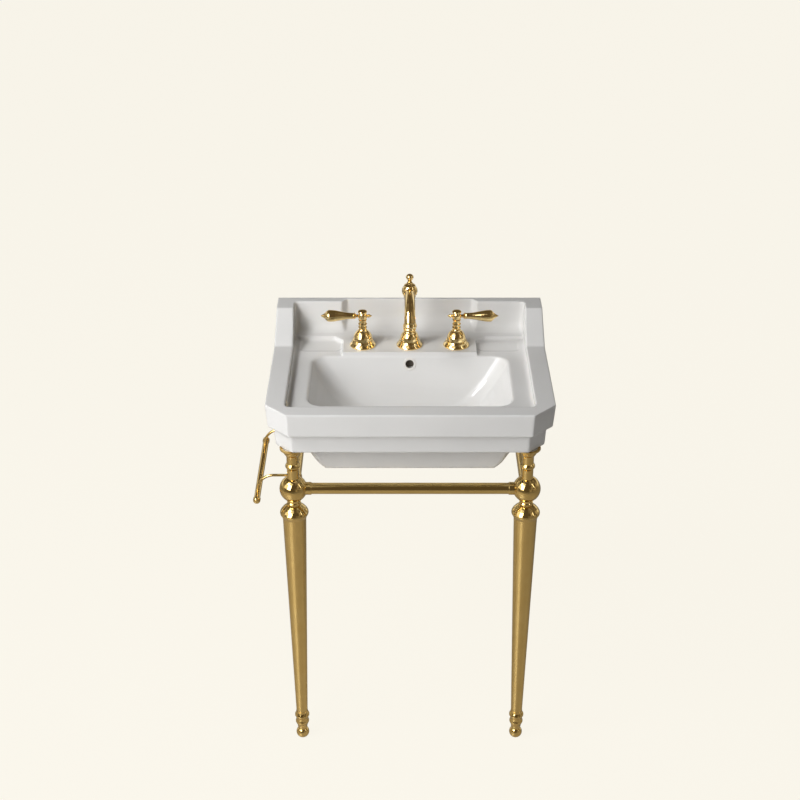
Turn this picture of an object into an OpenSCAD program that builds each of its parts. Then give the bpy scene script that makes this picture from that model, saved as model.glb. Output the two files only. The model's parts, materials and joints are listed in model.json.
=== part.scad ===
// Washstand basin: a stepped china basin on two turned brass legs, with a three-hole tap set, a pop-up
// waste and a side towel rail. Millimetres. X runs to the right, Y towards the wall and Z up; the wall is
// the plane y = 0. The origin is midway between the two wall-bolt holes in the back of the basin. Names
// that end in _h are heights above the floor, unless their comment says otherwise.

/* [Basin] */
// Width of the basin across the rim
basin_w = 610; // [585:1:650]
// Depth of the basin from the wall to the front edge
basin_d = 473; // [460:1:500]
// Height of the rim above the floor
rim_h = 888; // [840:1:930]
// Length of each cut-off front corner along the front and the side
corner_cut = 48; // [38:1:56]
// Width of the flat rim at the front
rim_w = 40; // [34:1:46]
// Width of the flat rim at the sides
rim_side_w = 43; // [37:1:48]
// Depth of the deck below the rim
deck_drop = 20; // [15:1:24]
// Thickness of the china deck
deck_t = 12; // [10:1:14]
// Radius of the tray corners inside the rim
tray_r = 10; // [8:1:18]
// Radius of the cove between the deck and the rim wall
tray_cove = 8; // [5:1:10]
// Height of the upper band of the skirt
band_h = 54.5; // [46:0.5:60]
// Height of the lower band of the skirt
lower_band_h = 46; // [38:1:52]
// Step from the upper band in to the lower band
band_step = 12; // [8:1:16]
// Lean of the upper band from top to bottom
band_lean = 4.5; // [2:0.5:6]
// Lean of the lower band from top to bottom
lower_band_lean = 3; // [1:0.5:5]
// Thickness of the skirt wall
skirt_t = 11; // [9:1:13]
// Thickness of the back wall below the deck
back_wall_t = 12; // [10:1:15]

/* [Upstand] */
// Height of the back upstand above the rim
upstand_h = 54; // [44:1:62]
// Thickness of the upstand along its top edge
upstand_t = 23; // [19:1:26]
// Rake of the upstand face, from its foot to its top
upstand_rake = 11; // [6:1:14]
// Radius of the cove at the foot of the upstand
upstand_cove = 19; // [14:1:24]
// Distance of the top of the side sweeps from the wall
sweep_top = 59; // [50:1:68]
// Length of the side sweeps from the upstand down to the rim
sweep_l = 90; // [75:1:110]
// Sag of the side sweeps below a straight slope
sweep_sag = 4; // [2:0.5:7]
// Draft of the upstand ends, from the rim to the top
upstand_draft = 1; // [0:0.5:5]
// Half width of the niche behind the taps
niche_half_w = 144; // [138:1:150]
// Thickness of the upstand at the top of the niche
niche_t = 8; // [7:1:10]
// Width of the slant at each end of the niche
niche_slant = 18; // [12:1:22]
// Radius of the cove at the foot of the niche
niche_cove = 32; // [26:1:36]

/* [Tap platform and soap dishes] */
// Half width of the tap platform
platform_half_w = 152; // [146:1:160]
// Rise of the tap platform above the deck
platform_rise = 8; // [5:1:10]
// Distance of the front of the rear ledge from the wall
ledge_w = 70; // [64:1:76]
// Length of the flare where the platform widens into the ledge
platform_flare = 21; // [14:1:26]
// Gap from the back edge of the bowl to the soap dishes
dish_gap = 23; // [16:1:28]
// Depth of the soap dishes below the deck
dish_drop = 2; // [1:0.5:3]
// Gap between a soap dish and the side wall of the tray
dish_side_gap = 12; // [9:1:18]

/* [Bowl] */
// Width of the bowl opening
bowl_w = 446; // [426:1:456]
// Length of the bowl opening from front to back
bowl_l = 242; // [228:1:250]
// Width of the deck in front of the bowl
front_ledge_w = 37; // [33:1:44]
// Radius of the bowl corners at the opening
bowl_r = 38; // [30:1:42]
// Radius of the rolled edge of the bowl
bowl_edge_r = 6; // [4:1:8]
// Depth of the bowl below the rim
bowl_depth = 140; // [130:1:146]
// Half width of the flat floor of the bowl
floor_half_w = 60; // [46:1:70]
// Half length of the flat floor of the bowl
floor_half_l = 38; // [36:1:44]
// Power of the curve of the bowl walls
bowl_curve = 0.4; // [0.36:0.01:0.44]
// Depth of the underside of the bowl below the rim
bowl_under = 168; // [164:1:175]
// Half width of the bowl underside
under_half_w = 184; // [174:1:192]
// Thickness of the bowl wall at the sides
bowl_side_t = 16; // [13:1:18]
// Thickness of the bowl wall at the back
bowl_back_t = 14; // [12:1:15]
// Diameter of the overflow hole
overflow_d = 22; // [18:1:24]
// Depth of the overflow centre below the rim
overflow_drop = 37; // [35:1:42]
// Thickness of the overflow channel inside the china
channel_t = 6; // [5:0.5:7]
// Width of the overflow channel inside the china
channel_w = 36; // [28:1:42]

/* [Wall fixing] */
// Distance between the two wall-bolt holes
wall_bolt_span = 280; // [270:1:300]
// Depth of the wall-bolt holes below the rim
wall_bolt_drop = 60; // [54:1:70]
// Diameter of the wall-bolt holes
wall_bolt_d = 12; // [10:1:14]

/* [Taps] */
// Distance between the two valves
valve_span = 212; // [204:1:220]
// Distance of the tap line behind the bowl edge
tap_setback = 38; // [35:1:42]
// Diameter of the tap holes
tap_hole_d = 33; // [31:1:35]
// Diameter of the bell base
bell_d = 59; // [56:1:64]
// Height of the moulded foot of the bell
bell_foot_h = 16; // [13:1:18]
// Diameter of the bell dome
dome_d = 43; // [40:1:46]
// Height of the bell shoulder above the platform
dome_h = 42; // [39:1:45]
// Diameter of the bell neck
bell_neck_d = 17; // [15:1:19]
// Height of the valve bell above the platform
bell_h = 64; // [60:1:68]
// Diameter of the valve spindle
spindle_d = 8; // [7:0.5:9]
// Diameter of the lever hub
hub_d = 20.6; // [19:0.2:22]
// Height of the lever hub
hub_h = 17; // [16:1:20]
// Thickness of the cap on the hub
cap_t = 4; // [3:0.5:5.5]
// Reach of the lever tip from the spindle
lever_l = 94; // [88:1:102]
// Diameter of the lever neck
lever_neck_d = 7; // [6:0.5:8]
// Diameter of the lever collar
lever_collar_d = 15; // [14:0.5:18]
// Diameter of the lever at its swell
lever_swell_d = 27; // [24:1:29]
// Reach of the small finial on the other side of the hub
finial_l = 21; // [18:1:24]
// Diameter of the small finial
finial_d = 9; // [8:0.5:10]
// Diameter of the valve body below the deck
valve_d = 27; // [25:1:29]
// Length of the valve body below the platform
valve_l = 78; // [74:1:84]
// Outside diameter of the supply tails
tail_d = 20.6; // [19:0.1:21]
// Length of the supply tails
tail_l = 22; // [18:1:26]
// Thickness of the deck washers
deck_washer_t = 3; // [2:0.5:4]
// Thickness of the lock nuts
lock_nut_t = 9; // [7:1:11]
// Width of the lock nuts across their flats
lock_nut_af = 38; // [36:1:39]
// Outside diameter of the link pipes
link_d = 12; // [10:1:14]
// Depth of the link pipes below the platform
link_drop = 56; // [54:1:59]

/* [Spout] */
// Diameter of the spout column at its foot
column_d = 27; // [25:1:29]
// Diameter of the spout column at its top
column_top_d = 23; // [21:1:25]
// Height of the middle of the hood above the platform
hood_h = 134; // [128:1:140]
// Diameter of the hood
hood_d = 35; // [32:1:38]
// Height of the hood above its middle
hood_rise = 21; // [18:1:23]
// Reach of the spout from its column
spout_reach = 110; // [100:1:120]
// Height of the spout mouth above the platform
mouth_h = 98; // [93:1:103]
// Diameter of the spout arm
arm_d = 22.5; // [20:0.5:24]
// Diameter of the spout mouth
mouth_d = 30; // [28:1:32]
// Diameter of the lift knob
knob_d = 17; // [15:1:19]
// Height of the lift knob above the hood
knob_h = 20; // [18:1:23]
// Diameter of the lift rod
lift_rod_d = 5; // [4:0.5:6]
// Travel of the lift rod
lift_travel = 30; // [25:1:32]

/* [Waste] */
// Diameter of the waste flange
waste_flange_d = 64; // [60:1:68]
// Thickness of the waste flange
waste_flange_t = 3; // [2:0.5:4]
// Diameter of the waste hole in the china
waste_hole_d = 45; // [43:1:47]
// Outside diameter of the waste body
waste_body_d = 41; // [39:1:42]
// Outside diameter of the waste outlet
outlet_d = 32; // [30:1:34]
// Wall of the waste body and outlet
waste_wall = 2.5; // [2:0.5:3]
// Length of the waste below the china
waste_l = 52; // [48:1:56]
// Diameter of the plug
plug_d = 39; // [37:1:42]
// Distance of the lever pivot from the axis of the waste
pivot_gap = 24; // [23:1:26]
// Depth of the lever pivot below the china
pivot_drop = 27; // [26:1:29]

/* [Stand] */
// Distance of the leg axes from the sides of the basin
leg_side_gap = 54; // [50:1:58]
// Distance of the leg axes from the front of the basin
leg_front_gap = 47; // [44:1:52]
// Thickness of the rubber pads under the china
pad_t = 1.5; // [1:0.5:3]
// Depth of the rails and ball joints below the rim
rail_drop = 204; // [196:1:212]
// Diameter of the ball joints
ball_d = 60; // [57:1:64]
// Diameter of the turned necks
neck_d = 25; // [23:1:27]
// Diameter of the bead on each neck
neck_bead_d = 31.5; // [29:0.5:34]
// Diameter of the flange on top of each neck
neck_flange_d = 52; // [48:1:58]
// Diameter of the leg collars
collar_d = 62; // [58:1:66]
// Height of the leg collars
collar_h = 31; // [28:1:34]
// Gap from the bottom of a ball joint to its collar
collar_gap = 11; // [9:1:13]
// Diameter of the legs at the top
leg_top_d = 51; // [47:1:54]
// Diameter of the legs at the bottom
leg_foot_d = 26; // [24:1:28]
// Wall of the leg tubes
leg_wall = 2; // [1.5:0.5:3]
// Height of the feet
foot_h = 78; // [72:1:84]
// Diameter of the upper ring of each foot
foot_ring_d = 33.5; // [31:0.5:36]
// Diameter of the ball of each foot
foot_ball_d = 30; // [28:1:32]
// Diameter of the front rail
front_rail_d = 24.5; // [22:0.5:26]
// Diameter of the side rails
side_rail_d = 27; // [25:0.5:28]
// Wall of the rail tubes
rail_wall = 1.5; // [1:0.5:2]
// Extra radius of the rail ferrules
ferrule_lip = 1.6; // [1:0.2:2.2]
// Length of the rail ferrules outside the ball joints
ferrule_l = 12; // [8:1:16]
// Diameter of the wall flanges
wall_flange_d = 64; // [58:1:70]
// Thickness of the wall flanges
wall_flange_t = 7; // [6:0.5:9]
// Diameter of the circle of screw holes in the wall flanges
screw_circle_d = 48; // [46:1:50]
// Diameter of the screw holes in the wall flanges
screw_hole_d = 5.5; // [4.5:0.5:6]

/* [Towel rail] */
// Distance of the towel bar out from the side rail
towel_out = 82; // [72:1:92]
// Drop of the towel bar below the side rail
towel_drop = 39; // [34:1:44]
// Length of the towel bar
towel_l = 277; // [260:1:290]
// Gap between the front towel arm and the ferrule of the side rail
towel_arm_gap = 1; // [0.5:0.5:8]
// Diameter of the towel bar
towel_d = 13.5; // [12:0.5:15]
// Diameter of the end caps of the towel bar
towel_cap_d = 16; // [15:0.5:18]
// Diameter of the towel arms
towel_arm_d = 6; // [5:0.5:7]
// Distance of the towel arms in from the ends of the bar
towel_arm_in = 37; // [30:1:44]
// Rise of the towel arms above the axis of the side rail
towel_arm_rise = 6; // [4:1:7]

/* [Fits] */
// Radial clearance of a part that turns or slides in a hole
run_gap = 0.05; // [0.02:0.01:0.08]
// Gap between faces that pass each other
face_gap = 0.3; // [0.2:0.05:0.5]
// Radial clearance of a spigot in its socket
spigot_gap = 0.05; // [0.02:0.01:0.1]

/* [Hidden] */

$fn = 48;
china = [0.93, 0.93, 0.91];
gold = [0.86, 0.66, 0.25];
polished_brass = [0.76, 0.64, 0.33];
raw_brass = [0.70, 0.58, 0.30];
rubber_grey = [0.22, 0.22, 0.22];
steel = [0.68, 0.69, 0.70];

// A hair more than nothing, by which a cutter passes the face that it cuts
over = 1;

deck_z = rim_h - deck_drop;
platform_z = deck_z + platform_rise;
top_z = rim_h + upstand_h;
band_z = rim_h - band_h;
skirt_z = band_z - lower_band_h;
bowl_z = rim_h - bowl_depth;
under_z = rim_h - bowl_under;
deck_under_z = deck_z - deck_t;
wall_bolt_z = rim_h - wall_bolt_drop;

bowl_front_y = -(basin_d - rim_w - front_ledge_w);
bowl_back_y = bowl_front_y + bowl_l;
waste_y = (bowl_front_y + bowl_back_y) / 2;
tap_y = bowl_back_y + tap_setback;
valve_x = valve_span / 2;

leg_x = basin_w / 2 - leg_side_gap;
leg_y = -(basin_d - leg_front_gap);
rail_z = rim_h - rail_drop;
ball_r = ball_d / 2;
// Height above the ball centre at which the necks, ferrules and rails seat
ball_seat = ball_r - 4;
// Radius and depth of the spigots that join the turned parts of the stand
spigot_r = 8;
spigot_l = 12;

// Outline of the basin drawn in by s all round but not at the wall, in order around the corners
function outline(s, z) = let (
    x = basin_w / 2 - s, y = -(basin_d - s), c = corner_cut - s * (2 - sqrt(2))
) [[x, y + c, z], [x, 0, z], [-x, 0, z], [-x, y + c, z], [-x + c, y, z], [x - c, y, z]];

// Rounded rectangle from x0 to x1 and y0 to y1 at height z, with n steps to each corner
function rounded(x0, x1, y0, y1, r, z, n = 6) = [
    for (c = [[x1 - r, y0 + r, -90], [x1 - r, y1 - r, 0], [x0 + r, y1 - r, 90], [x0 + r, y0 + r, 180]])
        for (i = [0:n])
            [c[0] + r * cos(c[2] + 90 * i / n), c[1] + r * sin(c[2] + 90 * i / n), z]
];

// How far a cove of radius r stands out from its wall at height h above its foot
function cove(h, r) = h >= r ? 0 : r - sqrt(r * r - (r - max(h, 0)) * (r - max(h, 0)));

// Points of an arc around [cx, cy]
function arc(cx, cy, r, a0, a1, n = 6) =
    [for (i = [0:n]) [cx + r * cos(a0 + (a1 - a0) * i / n), cy + r * sin(a0 + (a1 - a0) * i / n)]];

// Closed skin through rings that have the same number of points
module loft(rings) {
    n = len(rings[0]);
    m = len(rings);
    polyhedron(
        points = [for (r = rings) for (p = r) p],
        faces = concat(
            [[for (k = [0:n - 1]) k]],
            [[for (k = [n - 1:-1:0]) (m - 1) * n + k]],
            [for (i = [0:m - 2]) for (k = [0:n - 1]) for (half = [0, 1])
                half == 0
                    ? [i * n + k, (i + 1) * n + k, (i + 1) * n + (k + 1) % n]
                    : [i * n + k, (i + 1) * n + (k + 1) % n, i * n + (k + 1) % n]]
        )
    );
}

// Everything is drawn from the floor up, and this moves it to the origin between the wall bolts
module from_floor() {
    translate([0, 0, -wall_bolt_z]) children();
}

// Solid of revolution from points [radius, height]
module turned(points) {
    rotate_extrude() polygon(points);
}

// Turned solid that is closed on its axis
module turned_solid(points) {
    turned(concat([[0, points[0][1]]], points, [[0, points[len(points) - 1][1]]]));
}

// Cylinder along Y, from y upwards
module along_y(x, y, z, r, l) {
    translate([x, y, z]) rotate([-90, 0, 0]) cylinder(r = r, h = l);
}

// Cylinder along X, from x upwards
module along_x(x, y, z, r, l) {
    translate([x, y, z]) rotate([0, 90, 0]) cylinder(r = r, h = l);
}

// Hexagonal nut with a round hole
module nut(af, t, hole_r) {
    difference() {
        cylinder(d = af / cos(30), h = t, $fn = 6);
        translate([0, 0, -over]) cylinder(r = hole_r, h = t + 2 * over);
    }
}

// Copies of a part at both legs
module at_legs() {
    for (side = [-1, 1]) translate([side * leg_x, leg_y, 0]) children();
}

// Basin

// Half width of the tray, which widens a little from the rim to the top of the upstand
tray_half_w = basin_w / 2 - rim_side_w;
tray_spread = 3;
tray_steps = 16;
tray_h = deck_drop + upstand_h + over;

// Face of the back upstand at height z, as far as its foot on the rear ledge
function upstand_face(z, t, rake) = -(t + rake * (top_z - z) / (top_z - platform_z));
function tray_back(z) = let (h = max(z, platform_z))
    upstand_face(h, upstand_t, upstand_rake) - cove(h - platform_z, upstand_cove);
function niche_back(z) = upstand_face(z, niche_t, upstand_rake / 2) - cove(z - platform_z, niche_cove);

// Space inside the rim and in front of the upstand
module tray_space() {
    loft([for (k = [0:tray_steps]) let (
            z = deck_z + tray_h * pow(k / tray_steps, 2),
            in = cove(z - deck_z, tray_cove),
            x = tray_half_w - in + tray_spread * max(0, z - rim_h) / upstand_h
        ) rounded(-x, x, -(basin_d - rim_w - in), tray_back(z), tray_r, z)]);
}

// Niche behind the taps, whose ends slant out to the face of the upstand
module niche_space() {
    steps = 9;
    free = 24;
    slant_depth = upstand_t - niche_t + upstand_rake / 2 + 3;
    slice = [for (k = [0:steps]) platform_z + (top_z + over - platform_z) * pow(k / steps, 2)];
    function section(x, forward) = concat(
        [for (z = slice) [x, niche_back(z) - forward, z]],
        [[x, -ledge_w - free, top_z + over], [x, -ledge_w - free, platform_z]]
    );
    loft([
        section(-niche_half_w - niche_slant, slant_depth),
        section(-niche_half_w, 0),
        section(niche_half_w, 0),
        section(niche_half_w + niche_slant, slant_depth)
    ]);
}

// Half length of the bowl under its rolled edge, and the height there
half_l = bowl_l / 2 - bowl_edge_r;
roll_z = deck_z - bowl_edge_r;

// Half length of the bowl at height z
function bowl_reach(z) =
    floor_half_l + (half_l - floor_half_l) * pow((z - bowl_z) / (roll_z - bowl_z), bowl_curve);

// Place and lean of the overflow on the back wall of the bowl
overflow_z = rim_h - overflow_drop;
overflow_y = waste_y + bowl_reach(overflow_z);
overflow_tilt = atan((bowl_reach(overflow_z + 5) - bowl_reach(overflow_z - 5)) / 10);

module at_overflow() {
    translate([0, overflow_y, overflow_z]) rotate([-90 - overflow_tilt, 0, 0]) children();
}

// Space of the bowl, from its flat floor up through its rolled edge
module bowl_space() {
    wall_steps = 9;
    roll_steps = 4;
    half_w = bowl_w / 2 - bowl_edge_r;
    r_in = bowl_r - bowl_edge_r;
    floor_r = floor_half_l - 1;
    function level(x, l, r, z) = rounded(-x, x, waste_y - l, waste_y + l, r, z, 8);
    walls = [for (k = [0:wall_steps]) let (
            u = pow(k / wall_steps, 2),
            s = pow(u, bowl_curve)
        ) level(
            floor_half_w + (half_w - floor_half_w) * s,
            floor_half_l + (half_l - floor_half_l) * s,
            floor_r + (r_in - floor_r) * s + 10 * s * (1 - s),
            bowl_z + (roll_z - bowl_z) * u
        )];
    roll = [for (k = [1:roll_steps]) let (
            a = 90 * k / roll_steps,
            out = bowl_edge_r * (1 - cos(a))
        ) level(half_w + out, half_l + out, r_in + out, roll_z + bowl_edge_r * sin(a))];
    mouth = [level(half_w + bowl_edge_r, half_l + bowl_edge_r, bowl_r, platform_z + over)];
    loft(concat(walls, roll, mouth));
}

// Outside of the bowl below the deck, with sloped ends and a flat front
module bowl_body() {
    mouth_x = bowl_w / 2 + bowl_side_t;
    front = bowl_front_y - 7;
    back = bowl_back_y + bowl_back_t;
    function level(x, draw_in, r, z) = rounded(-x, x, front, back - draw_in, r, z, 5);
    loft([
        level(under_half_w, 12, 6, under_z),
        level(under_half_w + 15, 7, 10, under_z + 12),
        level(under_half_w + 33, 3, 16, under_z + 37),
        level(mouth_x - 6, 1, 20, skirt_z),
        level(mouth_x, 0, 22, deck_z - deck_t / 2)
    ]);
}

// Upper and lower band of the skirt, each leaning in towards its foot
module skirt_bands() {
    loft([outline(band_lean, band_z), outline(0, rim_h)]);
    loft([outline(band_lean + band_step + lower_band_lean, skirt_z),
          outline(band_lean + band_step, band_z + over)]);
}

// Back upstand with the ends that sweep down to the rim
module upstand() {
    steps = 8;
    sweep = [for (i = [0:steps]) let (t = i / steps)
        [-sweep_top - sweep_l * t, top_z - upstand_h * t - sweep_sag * sin(180 * t) * (1 - t)]];
    side_view = concat([[0, rim_h - band_h / 2], [0, top_z]], sweep,
                       [[-sweep_top - sweep_l, rim_h - band_h / 2]]);
    intersection() {
        translate([-basin_w / 2, 0, 0])
            rotate([90, 0, 90]) linear_extrude(basin_w) polygon(side_view);
        loft([outline(band_lean, band_z - over), outline(0, rim_h - 0.01),
              outline(upstand_draft, top_z + 0.01)]);
    }
}

// Hollow under the deck, which leaves a solid pad over each leg
module under_hollow() {
    s = band_lean + band_step + lower_band_lean + skirt_t;
    x = basin_w / 2 - s;
    y = -(basin_d - s);
    pad = x - y - (leg_x - leg_y) + (neck_flange_d / 2 + 3) * sqrt(2);
    translate([0, 0, skirt_z - over]) linear_extrude(deck_under_z - skirt_z + over)
        polygon([
            [x, y + pad], [x, -back_wall_t], [-x, -back_wall_t], [-x, y + pad],
            [-x + pad, y], [x - pad, y]
        ]);
}

// Rear ledge and tap platform, which stand above the deck
module platform() {
    front = bowl_back_y - 4;
    x = platform_half_w;
    flared = x + platform_flare;
    half = [[x, front], [x, -ledge_w - platform_flare], [flared, -ledge_w],
            [tray_half_w + 1, -ledge_w], [tray_half_w + 1, -upstand_t + over]];
    translate([0, 0, deck_z - over]) linear_extrude(platform_rise + over)
        polygon(concat(half, [for (i = [len(half) - 1:-1:0]) [-half[i][0], half[i][1]]]));
}

// Shallow dish for soap to the right of the tap platform, with sloped edges
module dish_space() {
    inner = platform_half_w + 3;
    outer = tray_half_w - dish_side_gap;
    front = bowl_back_y + dish_gap;
    back = -ledge_w - 2;
    slope = 2;
    end_flat = 1;
    // Full corner radius, or what a short dish leaves beside its sloped edge
    corner = min(14, (back - front) / 2 - slope - end_flat);
    loft([
        rounded(inner + slope, outer - slope, front + slope, back - slope, corner - slope,
            deck_z - dish_drop),
        rounded(inner, outer, front, back, corner, deck_z + 0.01)
    ]);
}

// China between the bowl and the overflow channel
channel_cover = 12;

// Overflow channel inside the back wall and under the floor of the bowl
module channel_space() {
    y = overflow_y + channel_cover;
    low = under_z + (bowl_z - under_z) / 2 - channel_t / 2;
    translate([-channel_w / 2, y, low])
        cube([channel_w, channel_t, rim_h - overflow_drop + overflow_d / 2 - low]);
    translate([-channel_w / 2, waste_y, low]) cube([channel_w, y - waste_y + channel_t, channel_t]);
}

module basin() {
    color(china) from_floor() difference() {
        union() {
            difference() {
                union() {
                    difference() {
                        skirt_bands();
                        under_hollow();
                    }
                    upstand();
                    bowl_body();
                }
                tray_space();
            }
            platform();
        }
        niche_space();
        bowl_space();
        channel_space();
        dish_space();
        mirror([1, 0, 0]) dish_space();
        for (x = [-valve_x, 0, valve_x])
            translate([x, tap_y, deck_under_z - 20])
                cylinder(d = tap_hole_d, h = platform_z - deck_under_z + 40);
        translate([0, waste_y, under_z - over])
            cylinder(d = waste_hole_d, h = bowl_z - under_z + 2 * over);
        translate([0, waste_y, bowl_z - waste_flange_t])
            cylinder(d = waste_flange_d + 1, h = waste_flange_t + over);
        at_overflow() translate([0, 0, -overflow_d])
            cylinder(d = overflow_d, h = overflow_d + channel_cover + channel_t / 2);
        for (side = [-1, 1])
            along_y(side * wall_bolt_span / 2, -back_wall_t - over, wall_bolt_z, wall_bolt_d / 2,
                back_wall_t + 2 * over);
    }
}

// Thin rim pressed into the overflow hole
module overflow_ring() {
    lip = 3.5;
    lip_t = 1.2;
    sleeve_l = 6;
    color(steel) from_floor() at_overflow() turned([
        [overflow_d / 2 - 1.5, -lip_t], [overflow_d / 2 + lip - 1, -lip_t],
        [overflow_d / 2 + lip, -face_gap - 0.2], [overflow_d / 2 + lip, -face_gap],
        [overflow_d / 2 - spigot_gap, -face_gap],
        [overflow_d / 2 - spigot_gap, sleeve_l], [overflow_d / 2 - 1.5, sleeve_l]
    ]);
}

// Pop-up waste

washer_t = 4;
back_nut_t = 8;
cup_drop = 13;
cup_l = 27;
cup_wall = 2.5;
seat_depth = 2;
body_end = 20;
pivot_z = under_z - pivot_drop;
pivot_y = waste_y + pivot_gap;
pivot_ball_r = 6;
pivot_tip_r = 2;
outer_arm = tap_y - pivot_y;
rest_tilt = asin(lift_travel / 2 / outer_arm);
// Rise of the open plug above its seat
plug_rise = lift_travel * pivot_gap / outer_arm;
eye_z = pivot_z + pivot_gap * sin(rest_tilt);
body_r = waste_body_d / 2;
bore_r = body_r - waste_wall;

module waste_flange() {
    lip_r = waste_flange_d / 2;
    seat_r = plug_d / 2 + 0.6;
    top = waste_flange_t;
    low = under_z - body_end - bowl_z + waste_flange_t;
    color(gold) from_floor() translate([0, waste_y, bowl_z - waste_flange_t]) difference() {
        turned([
            [bore_r, low], [body_r, low], [body_r, 0], [lip_r, 0], [lip_r, top - 1.5], [lip_r - 1.5, top],
            [seat_r + 1, top], [seat_r, top - seat_depth], [bore_r, top - seat_depth - 0.5]
        ]);
        along_y(0, -body_r - over, (under_z - bowl_z) / 2 + waste_flange_t, channel_t / 2,
            2 * body_r + 2 * over);
    }
}

module waste_washer() {
    color(rubber_grey) from_floor() translate([0, waste_y, under_z - washer_t]) difference() {
        cylinder(r = body_r + 11, h = washer_t);
        translate([0, 0, -over]) cylinder(r = body_r + spigot_gap, h = washer_t + 2 * over);
    }
}

module waste_back_nut() {
    color(raw_brass) from_floor() translate([0, waste_y, under_z - washer_t - back_nut_t])
        nut(waste_body_d + 14, back_nut_t, body_r + spigot_gap);
}

module waste_tail() {
    cup_r = body_r + spigot_gap + cup_wall;
    outlet_r = outlet_d / 2;
    cup_low = -cup_drop - cup_l;
    boss_r = pivot_ball_r + 3.5;
    color(raw_brass) from_floor() translate([0, waste_y, under_z]) difference() {
        union() {
            turned([
                [body_r - waste_wall, -body_end - face_gap], [body_r + spigot_gap, -body_end - face_gap],
                [body_r + spigot_gap, -cup_drop], [cup_r, -cup_drop], [cup_r, cup_low + 4],
                [outlet_r, cup_low], [outlet_r, -waste_l], [outlet_r - waste_wall, -waste_l],
                [outlet_r - waste_wall, cup_low], [body_r - waste_wall, cup_low + 4]
            ]);
            difference() {
                along_y(0, body_r - 4, -pivot_drop, boss_r, pivot_gap - body_r + 8);
                translate([0, 0, -pivot_drop - boss_r - over])
                    cylinder(r = body_r - 3, h = 2 * boss_r + 2 * over);
                translate([0, 0, -body_end - face_gap])
                    cylinder(r = body_r + spigot_gap, h = body_end);
            }
        }
        along_y(0, pivot_gap - pivot_ball_r - 1, -pivot_drop, pivot_ball_r + run_gap, pivot_ball_r + 8);
        along_y(0, outlet_r - waste_wall - 8, -pivot_drop, 4.5, pivot_gap - outlet_r + 8);
    }
}

// Plug and its stem, drawn open
module plug_stopper() {
    cap_t_mid = 3;
    stem_r = 3.5;
    blade = [9, 3, 13];
    seat_z = bowl_z - seat_depth + plug_rise;
    color(gold) from_floor() difference() {
        union() {
            translate([0, waste_y, seat_z]) turned_solid([
                [stem_r, -3], [plug_d / 2 - 4, -1.5], [plug_d / 2, 0.2], [plug_d / 2, 1.8],
                [plug_d / 2 - 3, cap_t_mid], [plug_d / 4, cap_t_mid + 0.8]
            ]);
            translate([0, waste_y, eye_z + 4]) cylinder(r = stem_r, h = seat_z - eye_z - 4);
            translate([-blade[0] / 2, waste_y - blade[1] / 2, eye_z - blade[2] / 2]) cube(blade);
        }
        along_y(0, waste_y - blade[1], eye_z, pivot_tip_r + 0.6, 2 * blade[1]);
    }
}

// Lever that the lift rod turns, tilted down at its far end while the plug is open
module pivot_rod() {
    color(steel) from_floor() translate([0, pivot_y, pivot_z]) rotate([-rest_tilt, 0, 0]) union() {
        sphere(r = pivot_ball_r);
        along_y(0, -pivot_gap - 3, 0, pivot_tip_r, pivot_gap + 3);
        along_y(0, 0, 0, lift_rod_d / 2, outer_arm + 10);
    }
}

module pivot_nut() {
    start = pivot_gap + 3;
    nut_l = 8;
    boss_r = pivot_ball_r + 3.5;
    color(raw_brass) from_floor() translate([0, waste_y, pivot_z]) difference() {
        along_y(0, start, 0, boss_r + 2, nut_l);
        along_y(0, start - over, 0, boss_r + spigot_gap, nut_l - 2 + over - 2.8);
        along_y(0, start, 0, lift_rod_d / 2 + 2.2, nut_l + over);
    }
}

// Lift rod and the strap that joins it to the pivot rod
strap_t = 1.6;
strap_w = 13;
clevis = [13, 9, 12];
clevis_z = eye_z + 42;
rod_low_z = clevis_z - 8;
strap_y = tap_y - lift_rod_d / 2 - strap_t - 0.4;
hook_z = pivot_z - lift_travel / 2;

module lift_rod() {
    color(gold) from_floor() translate([0, tap_y, rod_low_z])
        cylinder(d = lift_rod_d, h = platform_z + hood_h + hood_rise + 8 - rod_low_z);
}

module clevis_strap() {
    strap_low = hook_z - 16;
    spare_holes = 3;
    pitch = 10;
    color(steel) from_floor() difference() {
        union() {
            translate([-strap_w / 2, strap_y, strap_low])
                cube([strap_w, strap_t, clevis_z - strap_low + clevis[2] / 2]);
            translate([-clevis[0] / 2, strap_y, clevis_z - clevis[2] / 2]) cube(clevis);
        }
        translate([0, tap_y, clevis_z - clevis[2]])
            cylinder(r = lift_rod_d / 2 + spigot_gap, h = 2 * clevis[2]);
        along_y(0, strap_y - over, hook_z, lift_rod_d / 2 + 1.7, strap_t + 2 * over);
        for (i = [1:spare_holes])
            along_y(0, strap_y - over, hook_z + i * pitch, 2.6, strap_t + 2 * over);
        along_y(0, tap_y, clevis_z, 2 + spigot_gap, clevis[1]);
    }
}

module clevis_screw() {
    head_y = strap_y + clevis[1];
    color(raw_brass) from_floor() union() {
        along_y(0, tap_y + lift_rod_d / 2, clevis_z, 2, head_y - tap_y - lift_rod_d / 2 + 1);
        along_y(0, head_y, clevis_z, 5, 5);
    }
}

module lift_knob() {
    neck_r = 3.6;
    r = knob_d / 2;
    foot = hood_rise + face_gap;
    flat = 0.86;
    mid = hood_rise + knob_h - flat * r;
    color(gold) from_floor() translate([0, tap_y, platform_z + hood_h]) difference() {
        turned_solid(concat(
            [[neck_r + 1.4, foot], [neck_r + 1.4, foot + 1.2], [neck_r, foot + 2.2]],
            [for (a = [-45:15:75]) [r * cos(a), mid + flat * r * sin(a)]],
            [[r * 0.1, mid + flat * r]]
        ));
        translate([0, 0, foot - over])
            cylinder(r = lift_rod_d / 2 + spigot_gap, h = 8 - face_gap + over + 0.3);
    }
}

// Taps. Heights in this part are measured from the platform.

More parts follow.
